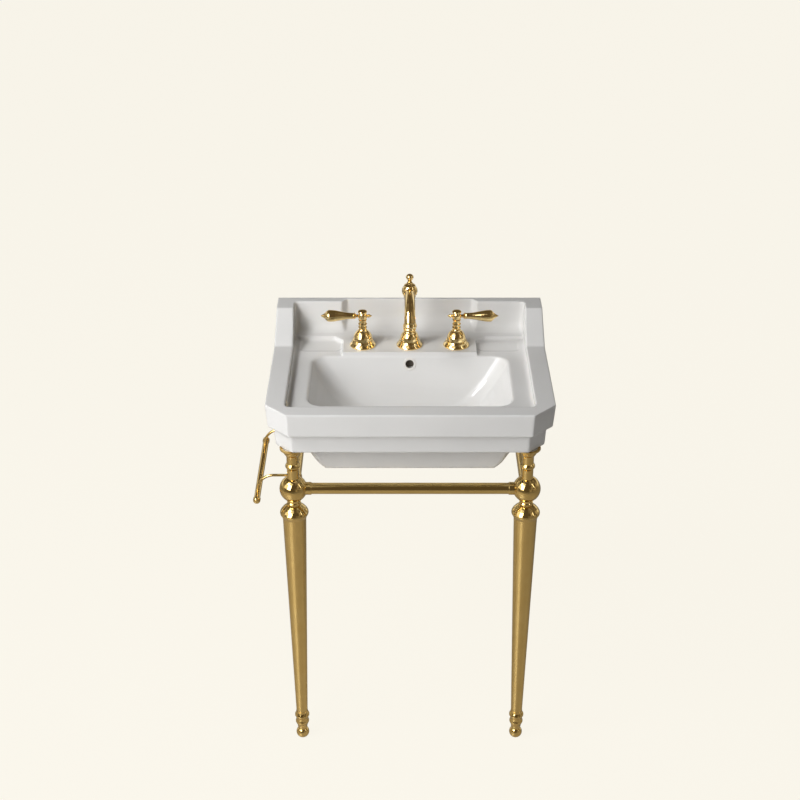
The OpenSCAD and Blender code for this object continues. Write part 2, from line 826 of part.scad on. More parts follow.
shoulder_r = 19;
shoulder_t = 4;
throat_r = 11;
spindle_r = spindle_d / 2;
hub_z = bell_h + face_gap;
hub_mid = hub_z + hub_h / 2;
hub_top = hub_z + hub_h;
hub_flat = hub_d / 2 - 0.6;
pin_r = 2.4;
screw_r = 2;
screw_head_r = 3.6;
screw_head_t = 2.6;
// Height inside the bells at which their bores narrow to the spindle
throat_h = dome_h - 8;
port_r = 9;
port_l = 13;
link_r = link_d / 2;
link_z = -link_drop;
tee_r = valve_d / 2 + 3.5;

module at_valve(side) {
    color(gold) from_floor() translate([side * valve_x, tap_y, platform_z]) children();
}

// Moulded foot and dome of a bell, as points from the platform up
function bell_points(foot_h, shoulder_h, r_base, r_dome, r_top) = let (
    turn = 55,
    rise = (shoulder_h - foot_h - 5) / sin(turn),
    inset = (r_dome - r_top - 2) / (1 - cos(turn))
) concat(
    [[r_base - 0.8, 0], [r_base, 0.9], [r_base, 2.4], [r_base - 0.8, 4]],
    [[r_base - 2.8, foot_h * 0.4], [r_base - 4.4, foot_h * 0.52], [r_base - 4.8, foot_h * 0.62]],
    [[r_dome + 2.2, foot_h * 0.76], [r_dome + 1.4, foot_h * 0.88], [r_dome + 0.2, foot_h * 0.94]],
    [for (i = [0:7]) let (a = turn * i / 7)
        [r_dome - inset * (1 - cos(a)), foot_h + rise * sin(a)]],
    arc(r_top + 5, shoulder_h + 1, 5, 228, 186, 4)
);

module valve_bell() {
    r = bell_neck_d / 2;
    ring = 1.3;
    difference() {
        turned_solid(concat(
            bell_points(bell_foot_h, dome_h, bell_d / 2, dome_d / 2, r),
            [[r + ring, dome_h + 2.6], [r + ring, dome_h + 4], [r - 0.6, dome_h + 5.4]],
            [[r - 0.6, dome_h + 9], [r + ring, dome_h + 10.6]],
            [[r + ring, dome_h + 12.2], [r - 0.4, dome_h + 13.6]],
            [[r - 0.4, bell_h - 4], [r + 0.8, bell_h - 1.4], [r + 0.8, bell_h]]
        ));
        translate([0, 0, -over]) cylinder(r = shoulder_r + spigot_gap, h = shoulder_t + over + spigot_gap);
        translate([0, 0, -over]) cylinder(r = throat_r + spigot_gap, h = throat_h + over + spigot_gap);
        cylinder(r = spindle_r + face_gap, h = bell_h + over);
    }
}

module valve_body(side) {
    difference() {
        union() {
            cylinder(r = throat_r, h = throat_h);
            cylinder(r = shoulder_r, h = shoulder_t);
            translate([0, 0, -valve_l]) cylinder(d = valve_d, h = valve_l + over);
            translate([0, 0, -valve_l - tail_l]) cylinder(d = tail_d, h = tail_l + over);
            translate([0, 0, link_z]) rotate([0, -side * 90, 0])
                cylinder(r = port_r, h = valve_d / 2 + port_l);
        }
        translate([0, 0, 10]) cylinder(r = spindle_r + run_gap, h = dome_h);
        translate([0, 0, -valve_l - tail_l - over]) cylinder(d = tail_d - 5, h = tail_l + 24);
        translate([0, 0, link_z]) rotate([0, -side * 90, 0])
            translate([0, 0, valve_d / 2 + port_l - 6]) cylinder(r = link_r + spigot_gap, h = 6 + over);
    }
}

module spindle() {
    tip = hub_top - screw_head_t - 3;
    difference() {
        translate([0, 0, 10 + face_gap]) cylinder(r = spindle_r, h = tip - 10 - face_gap);
        translate([0, 0, tip - 9]) cylinder(r = screw_r + spigot_gap, h = 9 + over);
    }
}

// Hub that the lever and its finial screw into, drawn for a lever that points along +X
module lever_hub() {
    r = hub_d / 2;
    difference() {
        turned_solid([
            [r - 2.4, hub_z], [r - 1, hub_z + 1.8], [r - 0.2, hub_z + 4],
            [r, hub_z + 6.5], [r, hub_top - 6.5],
            [r - 0.6, hub_top - 4], [r - 2, hub_top - 1.8], [r - 2.4, hub_top - 0.8], [r - 2.4, hub_top]
        ]);
        translate([0, 0, hub_z - over])
            cylinder(r = spindle_r + spigot_gap, h = hub_h - screw_head_t - 3 + over);
        translate([0, 0, hub_z]) cylinder(r = screw_r + spigot_gap, h = hub_h + over);
        translate([0, 0, hub_top - screw_head_t])
            cylinder(r = screw_head_r + spigot_gap, h = screw_head_t + over);
        for (turn = [0, 180]) rotate([0, 0, turn]) {
            along_x(hub_flat - 4, 0, hub_mid, pin_r + spigot_gap, 4 + over);
            along_x(hub_flat, 0, hub_mid, lever_neck_d / 2 + 0.6, 4);
        }
    }
}

module lever_arm() {
    neck = lever_neck_d / 2;
    ring = lever_collar_d / 2;
    swell = lever_swell_d / 2;
    start = 17;
    swell_x = lever_l - 19;
    slim = ring - 0.8;
    handle = [for (i = [0:8]) let (t = i / 8, s = (1 - cos(180 * t)) / 2)
        [slim + (swell - slim) * pow(s, 1.1), start + 4.4 + (swell_x - start - 4.4) * t]];
    translate([0, 0, hub_mid]) rotate([0, 90, 0]) turned_solid(concat(
        [[pin_r, hub_flat - 3.8], [pin_r, hub_flat], [neck, hub_flat], [neck, start - 3.4]],
        [[neck + 1.6, start - 2.4], [neck + 1.6, start - 0.8], [ring - 0.8, start], [ring, start + 0.8]],
        [[ring, start + 2.4], [ring - 1.2, start + 3.4]],
        handle,
        [[swell - 0.5, swell_x + 2.6], [swell - 2, swell_x + 5], [swell - 4.4, swell_x + 7.2]],
        [[swell - 6.6, swell_x + 9.4], [swell - 8.6, swell_x + 12], [2.8, swell_x + 15.4]],
        [[1.2, lever_l - 1], [0.5, lever_l]]
    ));
}

module lever_finial() {
    r = finial_d / 2;
    translate([0, 0, hub_mid]) rotate([0, -90, 0]) turned_solid([
        [pin_r, hub_flat - 3.8], [pin_r, hub_flat], [r - 1, hub_flat], [r - 1, hub_flat + 1.4],
        [r - 1.9, hub_flat + 2.2], [r - 0.6, hub_flat + 3], [r, hub_flat + 4.4], [r - 0.6, hub_flat + 5.8],
        [r - 2, finial_l - 3.6], [1.4, finial_l - 1.8], [0.5, finial_l]
    ]);
}

module hub_cap() {
    r = hub_d / 2 + 0.2;
    translate([0, 0, hub_top]) turned_solid([
        [r - 2, 0], [r - 0.6, 0.5], [r, 1.2], [r, cap_t - 1.8], [r - 0.7, cap_t - 0.9],
        [r - 2.4, cap_t - 0.3], [r - 5, cap_t]
    ]);
}

module handle_screw() {
    translate([0, 0, hub_top - screw_head_t]) union() {
        cylinder(r = screw_head_r, h = screw_head_t);
        translate([0, 0, -10]) cylinder(r = screw_r, h = 10 + over);
    }
}

// A lever part drawn at its own valve, pointing away from the spout
module lever_part(side) {
    at_valve(side) rotate([0, 0, side > 0 ? 0 : 180]) children();
}

module left_valve_bell() { at_valve(-1) valve_bell(); }
module right_valve_bell() { at_valve(1) valve_bell(); }
module left_valve_body() { color(raw_brass) at_valve(-1) valve_body(-1); }
module right_valve_body() { color(raw_brass) at_valve(1) valve_body(1); }
module left_spindle() { lever_part(-1) spindle(); }
module right_spindle() { lever_part(1) spindle(); }
module left_lever_hub() { lever_part(-1) lever_hub(); }
module right_lever_hub() { lever_part(1) lever_hub(); }
module left_lever_arm() { lever_part(-1) lever_arm(); }
module right_lever_arm() { lever_part(1) lever_arm(); }
module left_lever_finial() { lever_part(-1) lever_finial(); }
module right_lever_finial() { lever_part(1) lever_finial(); }
module left_hub_cap() { lever_part(-1) hub_cap(); }
module right_hub_cap() { lever_part(1) hub_cap(); }
module left_handle_screw() { lever_part(-1) handle_screw(); }
module right_handle_screw() { lever_part(1) handle_screw(); }

// Under the deck

under_deck = -(platform_rise + deck_t);

module deck_washers() {
    color(rubber_grey) from_floor() for (x = [-valve_x, 0, valve_x])
        translate([x, tap_y, platform_z + under_deck - deck_washer_t]) difference() {
            cylinder(d = tap_hole_d + 9, h = deck_washer_t);
            translate([0, 0, -over]) cylinder(r = valve_d / 2 + spigot_gap, h = deck_washer_t + 2 * over);
        }
}

module lock_nuts() {
    color(raw_brass) from_floor() for (x = [-valve_x, 0, valve_x])
        translate([x, tap_y, platform_z + under_deck - deck_washer_t - lock_nut_t])
            nut(lock_nut_af, lock_nut_t, valve_d / 2 + spigot_gap);
}

module spout_tee() {
    top = link_z + 13;
    low = link_z - 13;
    color(raw_brass) from_floor() translate([0, tap_y, platform_z]) difference() {
        union() {
            translate([0, 0, low]) cylinder(r = tee_r, h = top - low);
            for (side = [-1, 1])
                translate([0, 0, link_z]) rotate([0, side * 90, 0])
                    cylinder(r = port_r, h = tee_r + port_l);
        }
        translate([0, 0, link_z + 4]) cylinder(r = valve_d / 2 + spigot_gap, h = 10);
        translate([0, 0, low - over]) cylinder(r = lift_rod_d / 2 + 1.5, h = 30);
        for (side = [-1, 1]) translate([0, 0, link_z]) rotate([0, side * 90, 0])
            translate([0, 0, tee_r + port_l - 6]) cylinder(r = link_r + spigot_gap, h = 6 + over);
    }
}

module link_pipe(side) {
    start = tee_r + port_l - 5.8;
    stop = valve_x - valve_d / 2 - port_l + 5.8;
    color(raw_brass) from_floor() translate([0, tap_y, platform_z + link_z]) rotate([0, side * 90, 0])
        translate([0, 0, start]) difference() {
            cylinder(r = link_r, h = stop - start);
            translate([0, 0, -over]) cylinder(r = link_r - 1, h = stop - start + 2 * over);
        }
}

module left_link_pipe() { link_pipe(-1); }
module right_link_pipe() { link_pipe(1); }

module link_nuts() {
    nut_l = 9;
    color(raw_brass) from_floor() translate([0, tap_y, platform_z + link_z])
        for (side = [-1, 1]) rotate([0, side * 90, 0])
            for (start = [tee_r + port_l, valve_x - valve_d / 2 - port_l - nut_l])
                translate([0, 0, start]) nut(link_d + 9, nut_l, link_r + spigot_gap);
}

// Spout

column_z = dome_h + 3;

module spout_bell() {
    r = column_d / 2;
    color(gold) from_floor() translate([0, tap_y, platform_z]) difference() {
        turned_solid(concat(
            bell_points(bell_foot_h, dome_h - 4, bell_d / 2, dome_d / 2 - 0.6, r - 1),
            [[r + 0.6, dome_h - 2], [r + 1.6, dome_h - 1], [r + 1.6, dome_h + 1], [r + 0.4, column_z]]
        ));
        translate([0, 0, -over]) cylinder(r = shoulder_r + spigot_gap, h = shoulder_t + over + spigot_gap);
        translate([0, 0, -over]) cylinder(r = throat_r + spigot_gap, h = column_z + 2 * over);
    }
}

// Point at t along the middle of the spout arm, as reach and height
function arm_point(t) = let (
    a = [0, hood_h - 2], b = [spout_reach * 0.5, hood_h + 4],
    c = [spout_reach, hood_h + 6],
    d = [spout_reach, mouth_h + 4], s = 1 - t
) s * s * s * a + 3 * s * s * t * b + 3 * s * t * t * c + t * t * t * d;

module spout_arm() {
    steps = 16;
    sides = 28;
    loft([for (i = [0:steps]) let (
            t = i / steps,
            p = arm_point(t),
            step = arm_point(min(1, t + 0.01)) - arm_point(max(0, t - 0.01)),
            dir = i == steps ? [0, -1] : step / norm(step),
            r = arm_d / 2 + 0.6 * pow(1 - t, 2) + 1.9 * pow(t, 5)
        ) [for (k = [0:sides - 1]) let (a = 360 * k / sides)
            [r * cos(a), -p[0] + r * sin(a) * dir[1], p[1] + r * sin(a) * dir[0]]]]);
}

module spout() {
    r = column_d / 2;
    top_r = column_top_d / 2;
    hood_r = hood_d / 2;
    shank_low = link_z + 4.2;
    aerator_r = mouth_d / 2 - 3.5;
    color(gold) from_floor() translate([0, tap_y, platform_z]) difference() {
        union() {
            turned_solid(concat(
                [[valve_d / 2, shank_low], [valve_d / 2, 0], [shoulder_r, 0], [shoulder_r, shoulder_t]],
                [[throat_r, shoulder_t], [throat_r, column_z], [r, column_z], [r + 0.9, column_z + 1.4]],
                [[r + 0.9, column_z + 3], [r - 0.6, column_z + 4.6], [r - 1, column_z + 10]],
                [[top_r, hood_h - 22], [top_r, hood_h - 15]],
                [[top_r + 2.2, hood_h - 13.4], [top_r + 2.2, hood_h - 11.6]],
                arc(0, hood_h, hood_r, -34, 40, 6),
                [[hood_r * 0.7, hood_h + hood_rise * 0.62], [hood_r * 0.72, hood_h + hood_rise * 0.68]],
                [[hood_r * 0.5, hood_h + hood_rise * 0.81], [hood_r * 0.37, hood_h + hood_rise * 0.89]],
                [[hood_r * 0.37, hood_h + hood_rise - 0.8], [hood_r * 0.32, hood_h + hood_rise]]
            ));
            spout_arm();
            translate([0, -spout_reach, mouth_h]) turned_solid([
                [mouth_d / 2 - 1, 0], [mouth_d / 2, 1], [mouth_d / 2, 4], [mouth_d / 2 - 1, 5.6],
                [mouth_d / 2 - 1.8, 7.6], [arm_d / 2 + 1, 9.6]
            ]);
        }
        translate([0, 0, shank_low - over]) cylinder(r = lift_rod_d / 2 + 1.5, h = hood_h - shank_low);
        cylinder(r = lift_rod_d / 2 + run_gap, h = hood_h + hood_rise + over);
        translate([0, -spout_reach, mouth_h - over]) cylinder(r = aerator_r + spigot_gap, h = 9 + over);
    }
}

// Aerator screwed into the mouth of the spout, with a ring of small holes
module aerator() {
    r = mouth_d / 2 - 3.5;
    color(raw_brass) from_floor() translate([0, tap_y - spout_reach, platform_z + mouth_h + 0.4])
    difference() {
        cylinder(r = r, h = 8.4);
        translate([0, 0, -over]) cylinder(r = r - 2, h = 1.2 + over);
        for (ring = [[0, 1], [4, 6], [7.5, 12]]) for (i = [0:ring[1] - 1])
            rotate([0, 0, 360 * i / ring[1]]) translate([ring[0], 0, -over])
                cylinder(r = 0.8, h = 11, $fn = 16);
    }
}

// Stand. A ball joint has sockets for its neck, its collar, the front rail and its side rail.

front_rail_r = front_rail_d / 2;
side_rail_r = side_rail_d / 2;
ferrule_length = ferrule_l + 1;
socket_l = 12;
grub_r = 2.5;
leg_top_z = rail_z - ball_r - collar_gap - collar_h;
neck_h = skirt_z - pad_t - rail_z - ball_seat;
towel_x = -(leg_x + towel_out);
towel_z = rail_z - towel_drop;
boss_l = 15;

// Joint at the leg on the given side, at the origin, with its front rail towards the other leg
module ball_joint(side) {
    inward = side > 0 ? -90 : 90;
    module socket(r, seat_r) {
        translate([0, 0, ball_seat - socket_l]) cylinder(r = r + spigot_gap, h = ball_r);
        translate([0, 0, ball_seat]) cylinder(r = seat_r + spigot_gap, h = ball_r);
    }
    module grub_hole() {
        cylinder(r = grub_r + spigot_gap, h = ball_r + over);
    }
    difference() {
        sphere(r = ball_r);
        socket(spigot_r, neck_d / 2);
        rotate([180, 0, 0]) socket(spigot_r, neck_d / 2 + 2);
        rotate([0, inward, 0]) socket(front_rail_r, front_rail_r + ferrule_lip);
        rotate([-90, 0, 0]) socket(side_rail_r, side_rail_r + ferrule_lip);
        rotate([0, -inward, 0]) grub_hole();
    }
}

module neck() {
    r = neck_d / 2;
    bead_r = neck_bead_d / 2;
    flange_r = neck_flange_d / 2;
    bead_z = neck_h - 45;
    translate([0, 0, rail_z + ball_seat]) turned_solid([
        [spigot_r, 0.2 - spigot_l], [spigot_r, 0], [r, 0], [r, bead_z - 7], [bead_r - 1.6, bead_z - 4.6],
        [bead_r - 0.3, bead_z - 2], [bead_r, bead_z], [bead_r - 0.3, bead_z + 2],
        [bead_r - 1.6, bead_z + 4.6],
        [r, bead_z + 7], [r, neck_h - 23], [r + 1.8, neck_h - 18], [r + 5, neck_h - 13.5],
        [flange_r - 6.5, neck_h - 8.5], [flange_r - 1.6, neck_h - 4.6],
        [flange_r, neck_h - 3], [flange_r, neck_h]
    ]);
}

module collar() {
    r = collar_d / 2;
    top_r = leg_top_d / 2;
    waist = neck_d / 2 + 1;
    seat = rail_z - ball_seat;
    z = leg_top_z;
    h = collar_h;
    plug_l = 15;
    turned_solid([
        [top_r - leg_wall - spigot_gap, z - plug_l], [top_r - leg_wall - spigot_gap, z], [top_r + 0.8, z],
        [top_r + 0.8, z + h * 0.05], [r - 2.4, z + h * 0.2], [r - 0.5, z + h * 0.31], [r, z + h * 0.4],
        [r - 0.5, z + h * 0.49], [r - 2.2, z + h * 0.6], [r - 6, z + h * 0.76], [r - 11, z + h * 0.9],
        [waist + 2.4, z + h], [waist, z + h + 1], [waist, z + h + 2.4], [waist + 1.6, z + h + 4],
        [waist + 1.6, z + h + 7], [waist - 0.4, z + h + 9], [waist - 0.4, seat], [spigot_r, seat],
        [spigot_r, seat + spigot_l - 0.2]
    ]);
}

module leg() {
    top_r = leg_top_d / 2;
    foot_r = leg_foot_d / 2;
    turned([
        [foot_r - leg_wall, foot_h], [foot_r, foot_h], [top_r, leg_top_z], [top_r - leg_wall, leg_top_z],
        [top_r - leg_wall, leg_top_z - 20]
    ]);
}

module foot() {
    r = leg_foot_d / 2;
    ring = foot_ring_d / 2;
    ball = foot_ball_d / 2;
    waist = r - 1.6;
    h = foot_h;
    plug_l = 12;
    turned_solid(concat(
        arc(0, ball * sin(66), ball, -66, 48, 9),
        [[waist, h * 0.4], [waist, h * 0.44], [r, h * 0.5],
         [ring - 2.4, h * 0.54], [ring - 1.2, h * 0.58]],
        [[ring - 1.2, h * 0.62], [ring - 2.4, h * 0.66], [r + 1, h * 0.7], [r + 1, h * 0.74]],
        [[ring - 1.4, h * 0.78], [ring, h * 0.82], [ring, h * 0.86],
         [ring - 1.4, h * 0.9], [r + 0.4, h * 0.94]],
        [[r + 0.4, h], [r - leg_wall - 0.6, h], [r - leg_wall - 0.6, h + plug_l]]
    ));
}

module at_leg(side) {
    color(polished_brass) from_floor() translate([side * leg_x, leg_y, 0]) children();
}

module left_neck() { at_leg(-1) neck(); }
module right_neck() { at_leg(1) neck(); }
module left_ball_joint() { at_leg(-1) translate([0, 0, rail_z]) ball_joint(-1); }
module right_ball_joint() { at_leg(1) translate([0, 0, rail_z]) ball_joint(1); }
module left_collar() { at_leg(-1) collar(); }
module right_collar() { at_leg(1) collar(); }
module left_leg() { at_leg(-1) leg(); }
module right_leg() { at_leg(1) leg(); }
module left_foot() { at_leg(-1) foot(); }
module right_foot() { at_leg(1) foot(); }

module support_pads() {
    color(rubber_grey) from_floor() at_legs()
        translate([0, 0, skirt_z - pad_t]) cylinder(d = neck_flange_d - 12, h = pad_t);
}

// Screws in the outer side of the ball joints, which lock the front rail
module grub_screws() {
    color(steel) from_floor() for (side = [-1, 1])
        translate([side * leg_x, leg_y, rail_z]) rotate([0, side * 90, 0])
            translate([0, 0, ball_seat - 8]) difference() {
                cylinder(r = grub_r, h = 9);
                translate([0, 0, 6]) cylinder(r = 1.4, h = 4, $fn = 6);
            }
}

module front_rail() {
    half = leg_x - ball_seat + socket_l - 0.4;
    color(polished_brass) from_floor() difference() {
        along_x(-half, leg_y, rail_z, front_rail_r, 2 * half);
        along_x(-half - over, leg_y, rail_z, front_rail_r - rail_wall, 2 * half + 2 * over);
    }
}

module side_rail(side) {
    start = leg_y + ball_seat - socket_l + 0.4;
    stop = -2;
    color(polished_brass) from_floor() difference() {
        along_y(side * leg_x, start, rail_z, side_rail_r, stop - start);
        along_y(side * leg_x, start - over, rail_z, side_rail_r - rail_wall, stop - start + 2 * over);
    }
}

module left_side_rail() { side_rail(-1); }
module right_side_rail() { side_rail(1); }

module rail_ferrules() {
    module ferrule(r) {
        turned([[r + spigot_gap, 0], [r + ferrule_lip, 0], [r + ferrule_lip, ferrule_length - 1],
                [r + ferrule_lip - 0.6, ferrule_length], [r + spigot_gap, ferrule_length]]);
    }
    color(polished_brass) from_floor() for (side = [-1, 1]) translate([side * leg_x, leg_y, rail_z]) {
        rotate([0, -side * 90, 0]) translate([0, 0, ball_seat]) ferrule(front_rail_r);
        rotate([-90, 0, 0]) translate([0, 0, ball_seat]) ferrule(side_rail_r);
    }
}

module wall_flanges() {
    boss_r = side_rail_r + 4;
    screws = 3;
    color(polished_brass) from_floor() for (side = [-1, 1])
        translate([side * leg_x, 0, rail_z]) rotate([90, 0, 0]) difference() {
            turned_solid([
                [wall_flange_d / 2, 0], [wall_flange_d / 2, wall_flange_t - 2.5],
                [wall_flange_d / 2 - 2, wall_flange_t], [boss_r + 0.6, wall_flange_t],
                [boss_r, wall_flange_t + 1], [boss_r, wall_flange_t + boss_l - 1],
                [boss_r - 1, wall_flange_t + boss_l]
            ]);
            translate([0, 0, 2]) cylinder(r = side_rail_r + spigot_gap, h = wall_flange_t + boss_l);
            for (i = [0:screws - 1]) rotate([0, 0, 90 + 360 * i / screws])
                translate([screw_circle_d / 2, 0, -over])
                    cylinder(d = screw_hole_d, h = wall_flange_t + 2 * over);
        }
}

// Towel rail on the left side

arm_ring_w = 10;
front_arm_y = leg_y + ball_seat + ferrule_length + towel_arm_gap + arm_ring_w / 2;
towel_front_y = front_arm_y - towel_arm_in;
arm_ys = [front_arm_y, towel_front_y + towel_l - towel_arm_in];

module towel_bar() {
    cap_in = 5;
    color(polished_brass) from_floor() difference() {
        along_y(towel_x, towel_front_y + cap_in, towel_z, towel_d / 2, towel_l - 2 * cap_in);
        for (y = arm_ys) translate([towel_x, y, towel_z])
            cylinder(r = towel_arm_d / 2 + spigot_gap, h = towel_d);
    }
}

module towel_bar_caps() {
    r = towel_cap_d / 2;
    bar_r = towel_d / 2 + spigot_gap;
    color(polished_brass) from_floor() for (end = [0, 1])
        translate([towel_x, towel_front_y + end * towel_l, towel_z])
            rotate([end > 0 ? 90 : -90, 0, 0]) turned([
            [0, 0], [r * 0.45, 0.4], [r * 0.78, 1.8], [r * 0.95, 3.8], [r, 6], [r, 13], [r - 0.6, 14],
            [bar_r, 14], [bar_r, 5], [0, 5]
        ]);
}

// Bent arms that carry the bar, each with a ring round the side rail
module towel_arms() {
    bend_r = towel_drop + towel_arm_rise - towel_d / 2 - 2;
    arm_r = towel_arm_d / 2;
    ring_r = side_rail_r + 2.4;
    arm_z = rail_z + towel_arm_rise;
    bend_x = towel_x + bend_r;
    color(polished_brass) from_floor() for (y = arm_ys) {
        difference() {
            union() {
                along_y(-leg_x, y - arm_ring_w / 2, rail_z, ring_r, arm_ring_w);
                along_x(bend_x, y, arm_z, arm_r, -leg_x - side_rail_r - bend_x);
            }
            along_y(-leg_x, y - arm_ring_w, rail_z, side_rail_r + spigot_gap, 2 * arm_ring_w);
        }
        translate([bend_x, y, arm_z - bend_r]) rotate([90, 0, 0])
            rotate([0, 0, 90]) rotate_extrude(angle = 90) translate([bend_r, 0]) circle(r = arm_r);
        translate([towel_x, y, towel_z + 0.2]) cylinder(r = arm_r, h = arm_z - bend_r - towel_z - 0.2);
    }
}

basin();
overflow_ring();
waste_flange();
waste_washer();
waste_back_nut();
waste_tail();
plug_stopper();
pivot_rod();
pivot_nut();
clevis_strap();
clevis_screw();
lift_rod();
lift_knob();
left_valve_bell();
left_valve_body();
left_spindle();
left_lever_hub();
left_lever_arm();
left_lever_finial();
left_hub_cap();
left_handle_screw();
right_valve_bell();
right_valve_body();
right_spindle();
right_lever_hub();
right_lever_arm();
right_lever_finial();
right_hub_cap();
right_handle_screw();
deck_washers();
lock_nuts();
spout();
spout_bell();
aerator();
spout_tee();
left_link_pipe();
right_link_pipe();
link_nuts();
left_neck();
right_neck();
support_pads();
left_ball_joint();
right_ball_joint();
grub_screws();
left_collar();
right_collar();
left_leg();
right_leg();
left_foot();
right_foot();
front_rail();
left_side_rail();
right_side_rail();
rail_ferrules();
wall_flanges();
towel_bar();
towel_bar_caps();
towel_arms();
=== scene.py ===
# %% [markdown]
# A washstand basin in Blender: glazed china over a polished brass stand.
# The engineering model comes in as a fixed frame. Its pieces already have their real shape, size and place, in
# metres, so this lesson spends its time on what a maker's drawing leaves out: the softness of fired edges, the
# depth of a glaze, the polish of lathe-turned brass, the screws, and the light that lets them all show.

# %% Load the frame
import json
import math

import bmesh
import bpy
from mathutils import Matrix, Vector


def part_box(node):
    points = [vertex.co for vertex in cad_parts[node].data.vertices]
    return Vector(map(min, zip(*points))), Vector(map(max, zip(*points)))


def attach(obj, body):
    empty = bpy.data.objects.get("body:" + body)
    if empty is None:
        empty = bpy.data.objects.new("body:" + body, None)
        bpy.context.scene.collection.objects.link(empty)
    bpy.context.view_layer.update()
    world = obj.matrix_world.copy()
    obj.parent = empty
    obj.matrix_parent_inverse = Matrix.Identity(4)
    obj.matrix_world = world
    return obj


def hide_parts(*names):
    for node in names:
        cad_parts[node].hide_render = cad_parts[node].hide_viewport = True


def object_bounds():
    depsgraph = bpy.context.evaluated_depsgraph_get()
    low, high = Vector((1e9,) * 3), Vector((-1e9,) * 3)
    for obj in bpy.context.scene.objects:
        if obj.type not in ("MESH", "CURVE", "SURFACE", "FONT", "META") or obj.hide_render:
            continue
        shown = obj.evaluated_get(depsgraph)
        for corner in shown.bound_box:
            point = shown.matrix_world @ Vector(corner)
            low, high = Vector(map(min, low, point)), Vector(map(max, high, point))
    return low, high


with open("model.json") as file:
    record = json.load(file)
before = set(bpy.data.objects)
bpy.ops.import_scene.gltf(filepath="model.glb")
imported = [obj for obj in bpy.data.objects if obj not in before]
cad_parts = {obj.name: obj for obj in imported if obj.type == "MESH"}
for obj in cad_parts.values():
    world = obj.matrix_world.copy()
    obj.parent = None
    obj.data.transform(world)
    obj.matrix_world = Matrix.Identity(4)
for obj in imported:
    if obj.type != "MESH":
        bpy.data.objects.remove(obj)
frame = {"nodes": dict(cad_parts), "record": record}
cad_low, cad_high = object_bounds()
nodes = frame["nodes"]
print("nodes:", len(nodes), "box:", [round(v, 4) for v in (*cad_low, *cad_high)])

# %% [markdown]
# The camera stands about three metres in front of the wall, well above head height, and looks down on the rim. A
# long lens keeps the legs nearly parallel. The camera stands two centimetres left of the middle and looks straight
# ahead, which puts the basin a little right of the middle of the frame.

# %% Camera
CAMERA_SIDE = -0.0217
CAMERA_BACK = 3.195
CAMERA_UP = 1.550
CAMERA_DOWN_DEG = 28.1
LENS_MM = 67.75
SENSOR_MM = 36.0

camera_data = bpy.data.cameras.new("camera")
camera_data.sensor_width = SENSOR_MM
camera_data.lens = LENS_MM
camera = bpy.data.objects.new("camera", camera_data)
camera.location = (CAMERA_SIDE, -CAMERA_BACK, CAMERA_UP)
camera.rotation_euler = (math.radians(90 - CAMERA_DOWN_DEG), 0, 0)
bpy.context.scene.collection.objects.link(camera)
bpy.context.scene.camera = camera
bpy.context.scene.view_settings.view_transform = "Standard"
print("camera at", [round(v, 4) for v in camera.location], "lens", LENS_MM, "mm")

# %% [markdown]
# Materials are built from shader nodes. Two small tools keep that readable. `Value` wraps one output socket, so
# that masks can be added, scaled and mixed with plain signs instead of a row of wired Math nodes. Its `ramp` is the
# sum that masks need most: it rises from 0 to 1 between two values and stays level outside them.

# %% Arithmetic on sockets
class Value:
    """One number that changes over a surface, on which plain arithmetic works."""

    def __init__(self, tree, socket):
        self.tree = tree
        self.socket = socket

    def maths(self, operation, first, second):
        made = self.tree.nodes.new("ShaderNodeMath")
        made.operation = operation
        for place, term in enumerate((first, second)):
            if isinstance(term, Value):
                self.tree.links.new(term.socket, made.inputs[place])
            else:
                made.inputs[place].default_value = term
        return Value(self.tree, made.outputs[0])

    def __add__(self, other):
        return self.maths("ADD", self, other)

    def __radd__(self, other):
        return self.maths("ADD", other, self)

    def __sub__(self, other):
        return self.maths("SUBTRACT", self, other)

    def __rsub__(self, other):
        return self.maths("SUBTRACT", other, self)

    def __mul__(self, other):
        return self.maths("MULTIPLY", self, other)

    def __rmul__(self, other):
        return self.maths("MULTIPLY", other, self)

    def __pow__(self, other):
        return self.maths("POWER", self, other)

    def at_most(self, other):
        return self.maths("MINIMUM", self, other)

    def at_least(self, other):
        return self.maths("MAXIMUM", self, other)

    def ramp(self, start, end):
        """Goes from 0 at `start` to 1 at `end`, and falls where `end` is the smaller one."""
        return ((self - start) * (1 / (end - start))).at_least(0.0).at_most(1.0)


print("a value knows signs and:", [name for name in vars(Value) if not name.startswith("__")])

# %% [markdown]
# `Finish` is one material with a Principled shader. Its `node` method makes any other node in one call, from the
# kind, the settings and the values or links of the sockets. The few nodes that nearly every finish uses, such as
# noise and bump, get a short name each.

